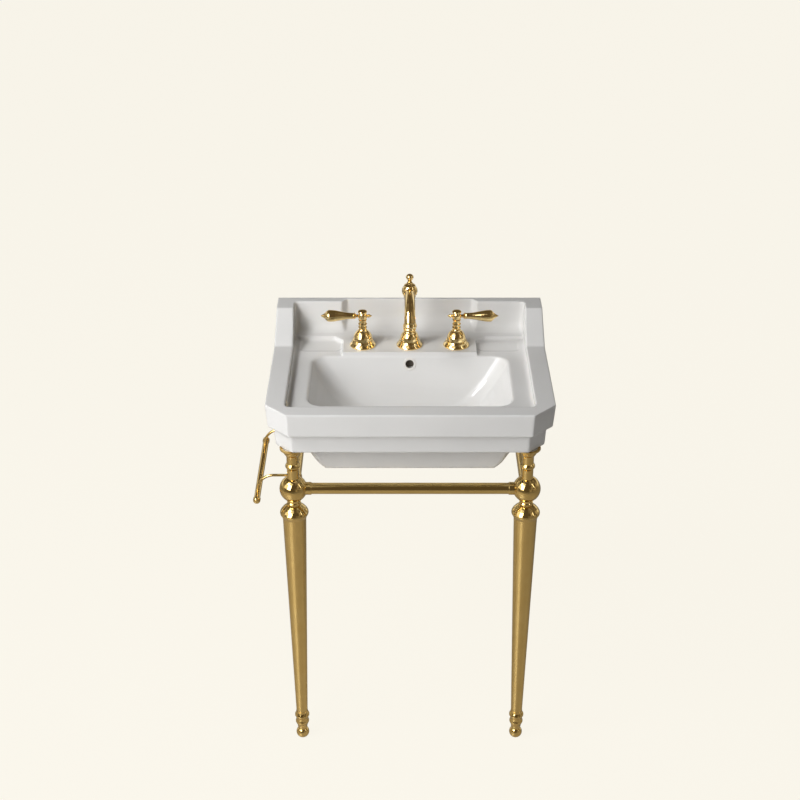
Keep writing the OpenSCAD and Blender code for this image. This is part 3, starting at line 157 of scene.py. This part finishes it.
# %% One material and its nodes
class Finish:
    """One material, or the world's node tree if that is given."""

    def __init__(self, name, tree=None):
        self.material = None
        if tree is None:
            self.material = bpy.data.materials.new(name)
            self.material.use_nodes = True
            tree = self.material.node_tree
        self.tree = tree
        self.tree.nodes.clear()

    def node(self, kind, settings=None, sockets=None, output=0):
        """Makes a node: its settings first, then values or links of its sockets. Returns one of its outputs."""
        made = self.tree.nodes.new(kind)
        for name, value in (settings or {}).items():
            setattr(made, name, value)
        for name, value in (sockets or {}).items():
            if isinstance(value, Value):
                self.tree.links.new(value.socket, made.inputs[name])
            else:
                made.inputs[name].default_value = value
        return Value(self.tree, made.outputs[output]) if made.outputs else None

    def place(self):
        """Place on the object in metres, the same however the piece is unwrapped."""
        return self.node("ShaderNodeTexCoord", output="Object")

    def stretched(self, scale):
        """The place, with each axis scaled by itself."""
        return self.node("ShaderNodeMapping", sockets={"Vector": self.place(), "Scale": scale})

    def axes(self, vector):
        """The three coordinates of a place or a direction, as values."""
        return [self.node("ShaderNodeSeparateXYZ", sockets={0: vector}, output=axis) for axis in "XYZ"]

    def ray(self, kind):
        """1 on rays of that kind, such as Camera or Glossy, and 0 on all others."""
        return self.node("ShaderNodeLightPath", output=f"Is {kind} Ray")

    def noise(self, scale, detail=2.0, rough=0.5, vector=None):
        """Smooth random value from 0 to 1, with `scale` bumps to the metre."""
        vector = vector or self.place()
        return self.node("ShaderNodeTexNoise", sockets={
            "Vector": vector, "Scale": scale, "Detail": detail, "Roughness": rough,
        })

    def mixed(self, mask, first, second):
        """Colour that goes from the first to the second as the mask goes from 0 to 1."""
        return self.node("ShaderNodeMix", {"data_type": "RGBA"}, {0: mask, 6: first, 7: second}, output=2)

    def bump(self, height, depth, under=None):
        """Surface normal with the height given, in metres of depth. `under` is a bump that it lies on."""
        sockets = {"Height": height, "Distance": depth, "Strength": 1.0}
        if under is not None:
            sockets["Normal"] = under
        return self.node("ShaderNodeBump", sockets=sockets)

    def finish(self, **sockets):
        """Ends the material in a Principled shader with the given inputs."""
        named = {name.replace("_", " "): value for name, value in sockets.items()}
        shader = self.node("ShaderNodeBsdfPrincipled", sockets=named)
        self.node("ShaderNodeOutputMaterial", sockets={"Surface": shader})
        return self.material


print("a finish can make:", [name for name in vars(Finish) if not name.startswith("_")])

# %% [markdown]
# Sanitary china is fired clay under a thick, clear, slightly milky glaze. Its colour is a soft white that varies a
# little over a hand's width, and the glaze is nearly a mirror. What gives it away as real are long, very shallow
# waves in the surface, which bend reflections, and a fine orange-peel grain that only shows close up. No glaze
# reaches the overflow channel, so the clay in there is rough and dull, and it is painted dark as shade for the deep
# channel. A mask painted by hand could say where that is. A box in the object's own coordinates is surer: it is
# measured from the ring in the overflow hole, leans as the wall of the bowl does, and needs no unwrapping.

# %% Glazed china
RING_LOW, RING_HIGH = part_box("overflow_ring")
WALL_LEAN = 0.24
WALL_FROM_RING = 0.0046
CHANNEL_HALF_W = 0.015
CHANNEL_STARTS = 0.003
CHANNEL_DEEP = 0.034
MASK_EDGE = 0.0005
GLAZE_DEEP = (0.80, 0.797, 0.785, 1)
GLAZE_THIN = (0.84, 0.835, 0.822, 1)
# Painted shade: the dark colour of the overflow channel stands in for the shade deep inside it.
SHADED_CHANNEL_CLAY = (0.22, 0.19, 0.155, 1)
WAVE_DEPTH = 0.0005
PEEL_DEPTH = 0.00002


def inside_channel(china):
    """Mask of the unglazed overflow channel: 1 in it, 0 on the rest of the basin."""
    across, back, up = china.axes(china.place())
    height = up - (RING_LOW.z + RING_HIGH.z) / 2
    depth = back - (RING_LOW.y + WALL_FROM_RING) - height * WALL_LEAN
    mask = depth.ramp(CHANNEL_STARTS, CHANNEL_STARTS + MASK_EDGE)
    mask = mask * depth.ramp(CHANNEL_DEEP, CHANNEL_DEEP - MASK_EDGE)
    for distance in (across, height):
        mask = mask * (distance ** 2.0).ramp(CHANNEL_HALF_W ** 2, (CHANNEL_HALF_W - MASK_EDGE) ** 2)
    return mask


def glazed_china():
    china = Finish("glazed_china")
    drift = china.noise(7.0)
    waves = china.bump(china.noise(16.0, detail=1.0), WAVE_DEPTH)
    peel = china.noise(420.0, detail=1.0)
    # Mask of the overflow channel: its roughness is the real unglazed clay, and its dark colour is painted shade.
    unglazed_and_shaded = inside_channel(china)
    glaze = china.mixed(drift, GLAZE_DEEP, GLAZE_THIN)
    return china.finish(
        Base_Color=china.mixed(unglazed_and_shaded, glaze, SHADED_CHANNEL_CLAY),
        Roughness=(0.10 + 0.05 * drift + 0.6 * unglazed_and_shaded).at_most(0.8),
        IOR=1.46,
        Coat_Weight=0.15,
        Coat_Roughness=0.04,
        Normal=china.bump(peel, PEEL_DEPTH, waves),
    )


CHINA = glazed_china()
print("china:", len(CHINA.node_tree.nodes), "nodes")

# %% [markdown]
# One recipe serves every metal here. Each is fully metallic, and its base colour is the tint of its reflections.
# Polishing leaves faint streaks that change the roughness more than the height, handling leaves broad dull patches,
# and turning on a lathe leaves rings too fine to count. The recipe takes the roughness, the dullness and the depth
# of the rings as numbers, so that tap gold, stand brass and plain plumbing brass differ in how well they were
# finished and not in how they are made. The rim pressed into the overflow hole has a finish of its own, blasted
# instead of polished, which makes it rougher and paler than all the others.

# %% Metals
GOLD = (0.985, 0.75, 0.35, 1)
GOLD_WORN = (0.94, 0.69, 0.31, 1)
BRASS = (0.83, 0.61, 0.245, 1)
BRASS_WORN = (0.76, 0.54, 0.20, 1)
PLUMBING = (0.72, 0.54, 0.26, 1)
PLUMBING_WORN = (0.52, 0.36, 0.17, 1)
STEEL = (0.78, 0.77, 0.75, 1)
STEEL_WORN = (0.70, 0.69, 0.67, 1)
CHROME = (0.75, 0.76, 0.77, 1)
BLASTED = (0.93, 0.92, 0.90, 1)


def turned_metal(name, colour, worn, rough, smudge, ring_depth):
    """Metal with its roughness, how much duller handling has made it in patches, and the depth of its rings."""
    metal = Finish(name)
    patches = metal.noise(30.0, detail=3.0, rough=0.6)
    rings = metal.noise(900.0, rough=0.6, vector=metal.stretched((0.15, 0.15, 1.0)))
    streaks = metal.noise(350.0)
    dull = patches.ramp(0.3125, 0.9375)
    return metal.finish(
        Base_Color=metal.mixed(dull, colour, worn),
        Metallic=1.0,
        Roughness=rough + smudge * dull + 0.35 * rough * streaks,
        Normal=metal.bump(rings, ring_depth),
    )


METALS = {
    "gold_finish": turned_metal("polished_gold", GOLD, GOLD_WORN, rough=0.07, smudge=0.05, ring_depth=4e-6),
    "polished_brass": turned_metal("polished_brass", BRASS, BRASS_WORN, rough=0.06, smudge=0.04, ring_depth=2e-6),
    "satin_brass": turned_metal("satin_brass", BRASS, BRASS_WORN, rough=0.17, smudge=0.04, ring_depth=4e-6),
    "raw_brass": turned_metal("plumbing_brass", PLUMBING, PLUMBING_WORN, rough=0.30, smudge=0.12, ring_depth=3e-5),
    "steel": turned_metal("bright_steel", STEEL, STEEL_WORN, rough=0.36, smudge=0.08, ring_depth=1e-5),
    "chrome_trim": turned_metal("chrome", CHROME, STEEL, rough=0.06, smudge=0.04, ring_depth=3e-6),
}
OVERFLOW_TRIM = turned_metal("overflow_trim", BLASTED, STEEL, rough=0.62, smudge=0.05, ring_depth=1e-5)
print("metals:", [metal.name for metal in METALS.values()], "and", OVERFLOW_TRIM.name)

# %% [markdown]
# The pads between the necks and the china, and the washer of the waste, are pale sealing rubber. It is matt, with a
# fine pebble from the mould, and it hardly shows against the china. A grain this fine is only a bump: no one sees
# its outline.

# %% Rubber
RUBBER_DARK = (0.44, 0.42, 0.38, 1)
RUBBER_PALE = (0.52, 0.50, 0.46, 1)
PEBBLE_DEPTH = 0.00008


def sealing_rubber():
    pads = Finish("rubber")
    grain = pads.noise(2600.0)
    return pads.finish(
        Base_Color=pads.mixed(pads.noise(60.0), RUBBER_DARK, RUBBER_PALE),
        Roughness=0.62 + 0.2 * grain,
        Normal=pads.bump(grain, PEBBLE_DEPTH),
    )


RUBBER = sealing_rubber()
print("rubber:", len(RUBBER.node_tree.nodes), "nodes")

# %% [markdown]
# The record names a material slot for every piece, so the pieces don't have to be listed again: each takes the
# finish of its slot. The finish goes on the object and not on its mesh, which leaves the frame's meshes alone.

# %% Finishes by material slot
FINISHES = {"china": CHINA, "rubber": RUBBER, **METALS}
slot_of = {part["node"]: part["material_slot"] for part in frame["record"]["subparts"]}
for name, node in nodes.items():
    for material_slot in node.material_slots:
        material_slot.link = "OBJECT"
        material_slot.material = OVERFLOW_TRIM if name == "overflow_ring" else FINISHES[slot_of[name]]
for slot in FINISHES:
    print(slot, "on", sum(used == slot for used in slot_of.values()), "nodes")

# %% [markdown]
# Before the basin is fired, one place in its drawing needs clay. The foot of the overflow channel comes out through
# the sloping back of the bowl there, where a real basin is closed. A thin sliver, laid flush with that slope, closes
# it. It is a prism: its side view stands at both ends, and one face joins each pair of edges.

# %% Clay over the foot of the channel
# Side view of the sliver, as (y, z) in metres, and its half width
SLIVER = ((-0.1491, -0.101), (-0.1470, -0.096), (-0.1444, -0.080), (-0.1431, -0.071), (-0.1431, -0.055),
          (-0.1485, -0.055), (-0.1485, -0.080), (-0.1510, -0.096), (-0.1530, -0.101))
SLIVER_HALF_W = 0.021


def closed_clay(drawn):
    """Shape of the drawn basin with the sliver of clay laid over the foot of the overflow channel."""
    shape = bmesh.new()
    shape.from_mesh(drawn)
    left, right = ([shape.verts.new((x, y, z)) for y, z in SLIVER] for x in (-SLIVER_HALF_W, SLIVER_HALF_W))
    faces = [shape.faces.new(left), shape.faces.new(reversed(right))]
    for k in range(len(SLIVER)):
        faces.append(shape.faces.new((left[k - 1], right[k - 1], right[k], left[k])))
    bmesh.ops.recalc_face_normals(shape, faces=faces)
    return shape


clay = closed_clay(nodes["basin"].data)
print("faces of the clay:", len(clay.faces), "of which the sliver adds", len(SLIVER) + 2)

# %% [markdown]
# A drawing has sharp corners, but clay shrinks, sags and takes glaze, so nothing on a fired basin is sharper than
# a few millimetres. One way would be to bevel every edge by hand. A voxel remesh is surer here: it turns the
# boolean solid into an even skin, and a few rounds of smoothing then wear every edge down by the same amount,
# inside corners as well as outside ones, as a glaze does. The remesh also joins whatever overlaps, so the sliver
# and the basin become one skin in the same step.

# %% Soft-edged china basin
VOXEL = 0.002
SMOOTH_SHARE = 0.5
SMOOTH_ROUNDS = 8


def object_of(shape, name):
    """Puts a finished shape into the scene as an object of that name."""
    mesh = bpy.data.meshes.new(name)
    shape.to_mesh(mesh)
    shape.free()
    made = bpy.data.objects.new(name, mesh)
    bpy.context.scene.collection.objects.link(made)
    return made


def evaluated_mesh(piece):
    """The mesh of a piece with its modifiers applied."""
    bpy.context.view_layer.update()
    return bpy.data.meshes.new_from_object(piece.evaluated_get(bpy.context.evaluated_depsgraph_get()))


def fired_basin(clay):
    piece = object_of(clay, "fired_basin")
    skin = piece.modifiers.new("skin", "REMESH")
    skin.mode = "VOXEL"
    skin.voxel_size = VOXEL
    wear = piece.modifiers.new("wear", "SMOOTH")
    wear.factor = SMOOTH_SHARE
    wear.iterations = SMOOTH_ROUNDS
    piece.data = evaluated_mesh(piece)
    piece.modifiers.clear()
    piece.data.materials.clear()
    piece.data.materials.append(FINISHES["china"])
    piece.data.polygons.foreach_set("use_smooth", [True] * len(piece.data.polygons))
    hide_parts("basin")
    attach(piece, "stand_and_basin")
    return piece


basin = fired_basin(clay)
print("basin faces:", len(basin.data.polygons))

# %% [markdown]
# Three brass screws hold each wall flange. They are small, but from the side and the back an empty screw hole is
# the first thing that looks unfinished. A screw is a turned form, so it is made like one: a profile, drawn from the
# top of the axis to its foot, is spun round that axis. Blender's own spin tool could do it too, but a few lines of
# rings and faces leave no doubled points on the axis to clean up.

# %% Turning a profile
STEPS = 32


def spun(profile):
    """Closed shape of a profile of (radius, height) points, first and last on the axis, spun round Z."""
    shape = bmesh.new()
    turns = [2 * math.pi * step / STEPS for step in range(STEPS)]
    rings = []
    for radius, height in profile:
        if radius == 0:
            rings.append([shape.verts.new((0, 0, height))])
        else:
            rings.append([shape.verts.new((radius * math.cos(a), radius * math.sin(a), height)) for a in turns])
    for upper, lower in zip(rings, rings[1:]):
        for k in range(STEPS):
            corners = [ring[n % len(ring)] for ring, n in ((upper, k), (upper, k + 1), (lower, k + 1), (lower, k))]
            shape.faces.new(list(dict.fromkeys(corners)))
    bmesh.ops.recalc_face_normals(shape, faces=shape.faces)
    return shape


print("a profile is spun in", STEPS, "steps of", 360 / STEPS, "degrees")

# %% [markdown]
# The head is a low dome on a short straight band, with one slot across it. The slot could be modelled in, but then
# the dome's faces would have to part round it. Cutting it with a thin box is quicker, and the cut's edges come out
# as sharp as a saw leaves them.

# %% One slotted screw
HEAD_R = 0.0045
HEAD_BAND = 0.0007
HEAD_DOME = 0.0014
DOME_ANGLES = (0, 0.3, 0.6, 0.9, 1.2, math.pi / 2)
SHANK_R = 0.0024
SHANK_L = 0.0055
TIP_L = 0.001
SLOT_W = 0.0011
SLOT_DEEP = 0.0011


def slot_cutter():
    """Thin box that lies across the top of the head."""
    shape = bmesh.new()
    bmesh.ops.create_cube(shape, size=1.0)
    bmesh.ops.scale(shape, vec=(SLOT_W, 3 * HEAD_R, 2 * SLOT_DEEP), verts=shape.verts)
    bmesh.ops.translate(shape, vec=(0, 0, HEAD_BAND + HEAD_DOME), verts=shape.verts)
    return object_of(shape, "slot_cutter")


def slotted_screw():
    """Mesh of one screw: its head stands on height 0, its shank runs below."""
    dome = [(HEAD_R * math.sin(a), HEAD_BAND + HEAD_DOME * math.cos(a)) for a in DOME_ANGLES]
    shank = [(HEAD_R, 0), (SHANK_R, 0), (SHANK_R, -SHANK_L), (0, -SHANK_L - TIP_L)]
    screw = object_of(spun(dome + shank), "flange_screw")
    cutter = slot_cutter()
    cut = screw.modifiers.new("slot", "BOOLEAN")
    cut.object = cutter
    made = evaluated_mesh(screw)
    for item in (cutter, screw):
        bpy.data.objects.remove(item)
    return made


one_screw = slotted_screw()
print("one screw:", len(one_screw.polygons), "faces")

# %% [markdown]
# The six screws are copies of that one, laid on their side with the head to the room. Each slot stops at its own
# angle, as they do when screws are driven home by hand.

# %% Screws of the wall flanges
FLANGE_D = 0.064
FLANGE_T = 0.007
SCREW_CIRCLE = 0.024
HOLE_TURNS = (90, 210, 330)
SLOT_TURNS = (20, 75, 128, 48, 5, 150)
SHARP_DEG = 35


def flange_screws():
    low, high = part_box("wall_flanges")
    height = (low.z + high.z) / 2
    sides = (low.x + FLANGE_D / 2, high.x - FLANGE_D / 2)
    places = [(side, math.radians(turn)) for side in sides for turn in HOLE_TURNS]
    lay = Matrix.Rotation(math.radians(90), 4, "X")
    shape = bmesh.new()
    for (side, turn), slot_turn in zip(places, SLOT_TURNS):
        spin = Matrix.Rotation(math.radians(slot_turn), 4, "Z")
        spot = (side + SCREW_CIRCLE * math.cos(turn), -FLANGE_T, height + SCREW_CIRCLE * math.sin(turn))
        placed = one_screw.copy()
        placed.transform(Matrix.Translation(spot) @ lay @ spin)
        shape.from_mesh(placed)
    screws = object_of(shape, "flange_screws")
    screws.data.shade_smooth()
    screws.data.set_sharp_from_angle(angle=math.radians(SHARP_DEG))
    screws.data.materials.append(FINISHES["polished_brass"])
    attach(screws, "stand_and_basin")
    return screws


screws = flange_screws()
print("screws:", len(screws.data.polygons), "faces, front at", round(min(v.co.y for v in screws.data.vertices), 4))

# %% [markdown]
# The floor is a plain pale sheet, larger than any view needs. The camera sees its own cream colour, a little
# darkened where the object shades it. Polished metal sees the same sheet partly by its own colour and partly by
# the lamps, with the soft gloss of a sealed floor, and to all other rays it is matt card.

# %% Floor
CREAM = (0.947, 0.913, 0.823, 1)
CREAM_FLOOR = (0.972, 0.937, 0.845, 1)
FLOOR_SEEN = (0.48, 0.415, 0.33, 1)
FLOOR_MATT = (0.92, 0.91, 0.89, 1)
FLOOR_HALF = 30.0
FLOOR_ROUGH = 0.30
FLOOR_IOR = 1.8
SHADE_SHARE = 0.04
METAL_SHARE = 0.10


def studio_floor():
    low = cad_low.z
    mesh = bpy.data.meshes.new("floor")
    corners = [(x * FLOOR_HALF, y * FLOOR_HALF, low) for x, y in ((-1, -1), (1, -1), (1, 1), (-1, 1))]
    mesh.from_pydata(corners, [], [(0, 1, 2, 3)])
    floor = bpy.data.objects.new("floor", mesh)
    bpy.context.scene.collection.objects.link(floor)
    card = Finish("floor_card")
    camera_ray, glossy_ray, glass_ray = (card.ray(kind) for kind in ("Camera", "Glossy", "Transmission"))
    matt = card.node("ShaderNodeBsdfDiffuse", sockets={"Color": FLOOR_MATT})
    sealed = card.node("ShaderNodeBsdfPrincipled", sockets={
        "Base Color": FLOOR_SEEN, "Roughness": FLOOR_ROUGH, "IOR": FLOOR_IOR,
    })
    lit = card.node("ShaderNodeMixShader", sockets={0: glossy_ray, 1: matt, 2: sealed})
    light = card.node("ShaderNodeEmission", sockets={"Color": CREAM_FLOOR, "Strength": 1.0})
    shown = ((camera_ray + glass_ray) * (1 - SHADE_SHARE) + glossy_ray * METAL_SHARE).at_most(1.0)
    mix = card.node("ShaderNodeMixShader", sockets={0: shown, 1: lit, 2: light})
    card.node("ShaderNodeOutputMaterial", sockets={"Surface": mix})
    mesh.materials.append(card.material)
    return floor


floor = studio_floor()
print("floor at", round(cad_low.z, 4))

# %% [markdown]
# The light comes from the left: two tall window panes, of which the one near the front does most of the work, a
# small lamp higher up that throws the clearest shadows, and a broad, weak one above both. The gap between the panes
# shows as a dark bar in every polished ball. On the right there is only a narrow, weak strip, which draws a thin
# line down the brass. Walls that face right stay soft grey, and that shapes white china.

# %% Lamps
AIM = (0, -0.25, 0.05)
LAMP_FAR = 3.0
LAMPS = {
    "window_near": {"turn": 38, "up": 26, "size": (1.4, 2.0), "power": 55.0},
    "window_far": {"turn": 68, "up": 26, "size": (1.4, 2.0), "power": 9.0},
    "side_high": {"turn": 62, "up": 46, "size": (0.7, 0.7), "power": 28.0},
    "soft_high": {"turn": 45, "up": 52, "size": (2.0, 1.2), "power": 7.0},
    "right_strip": {"turn": -66, "up": 30, "size": (0.16, 1.6), "power": 3.0},
}


def area_light(name, turn, up, size, power):
    """A lamp that faces the basin, `turn` degrees to the left of straight in front and `up` degrees above it."""
    data = bpy.data.lights.new(name, "AREA")
    data.shape = "RECTANGLE"
    data.size, data.size_y = size
    data.energy = power
    lamp = bpy.data.objects.new(name, data)
    turn, up = math.radians(turn), math.radians(up)
    away = Vector((-math.cos(up) * math.sin(turn), -math.cos(up) * math.cos(turn), math.sin(up)))
    lamp.location = Vector(AIM) + LAMP_FAR * away
    lamp.rotation_euler = away.to_track_quat("Z", "Y").to_euler()
    bpy.context.scene.collection.objects.link(lamp)
    return lamp


for name, lamp in LAMPS.items():
    made = area_light(name, **lamp)
    print(name, "at", [round(v, 2) for v in made.location])

# %% [markdown]
# Polished metal is only as good as what it reflects. The low backdrop shows its cream to the camera and to the
# metal in front of it. The ceiling and the end of the room behind the camera are dim and warm, which draws the
# dark bands that make brass look like brass, and paler patches to the sides stand for walls and furniture. The
# room itself gives almost no light.

# %% Surroundings
ROOM_GLOW = (0.05, 0.047, 0.044, 1)
ROOM_DARK = (0.10, 0.08, 0.055, 1)
ROOM_LIT = (0.50, 0.44, 0.35, 1)
# Where each of these begins and where it is full, by coordinates of the direction from 0 to 1
BACKDROP_TOP = (0.325, 0.075)
BACKDROP_SIDES = (0.12, 0.52)
SIDE_WALLS = (0.04, 0.24)
PATCHES = (0.4167, 0.6944)


def surroundings():
    world = bpy.data.worlds.new("room")
    world.use_nodes = True
    bpy.context.scene.world = world
    room = Finish("room", world.node_tree)
    direction = room.node("ShaderNodeTexCoord", output="Generated")
    across, ahead, upward = room.axes(direction)
    behind = ahead.ramp(*BACKDROP_SIDES) * upward.ramp(*BACKDROP_TOP)
    aside = (across * across).ramp(*SIDE_WALLS)
    clutter = room.noise(2.6, rough=0.55, vector=direction).ramp(*PATCHES) * aside
    camera_ray, glossy_ray, glass_ray = (room.ray(kind) for kind in ("Camera", "Glossy", "Transmission"))
    unseen = room.mixed(glossy_ray, ROOM_GLOW, room.mixed(clutter, ROOM_DARK, ROOM_LIT))
    shown = (camera_ray + glass_ray + glossy_ray * behind).at_most(1.0)
    colour = room.mixed(shown, unseen, CREAM)
    background = room.node("ShaderNodeBackground", sockets={"Color": colour, "Strength": 1.0})
    room.node("ShaderNodeOutputWorld", sockets={"Surface": background})
    return world


world = surroundings()
print("world:", world.name, "with", len(world.node_tree.nodes), "nodes")

# %% [markdown]
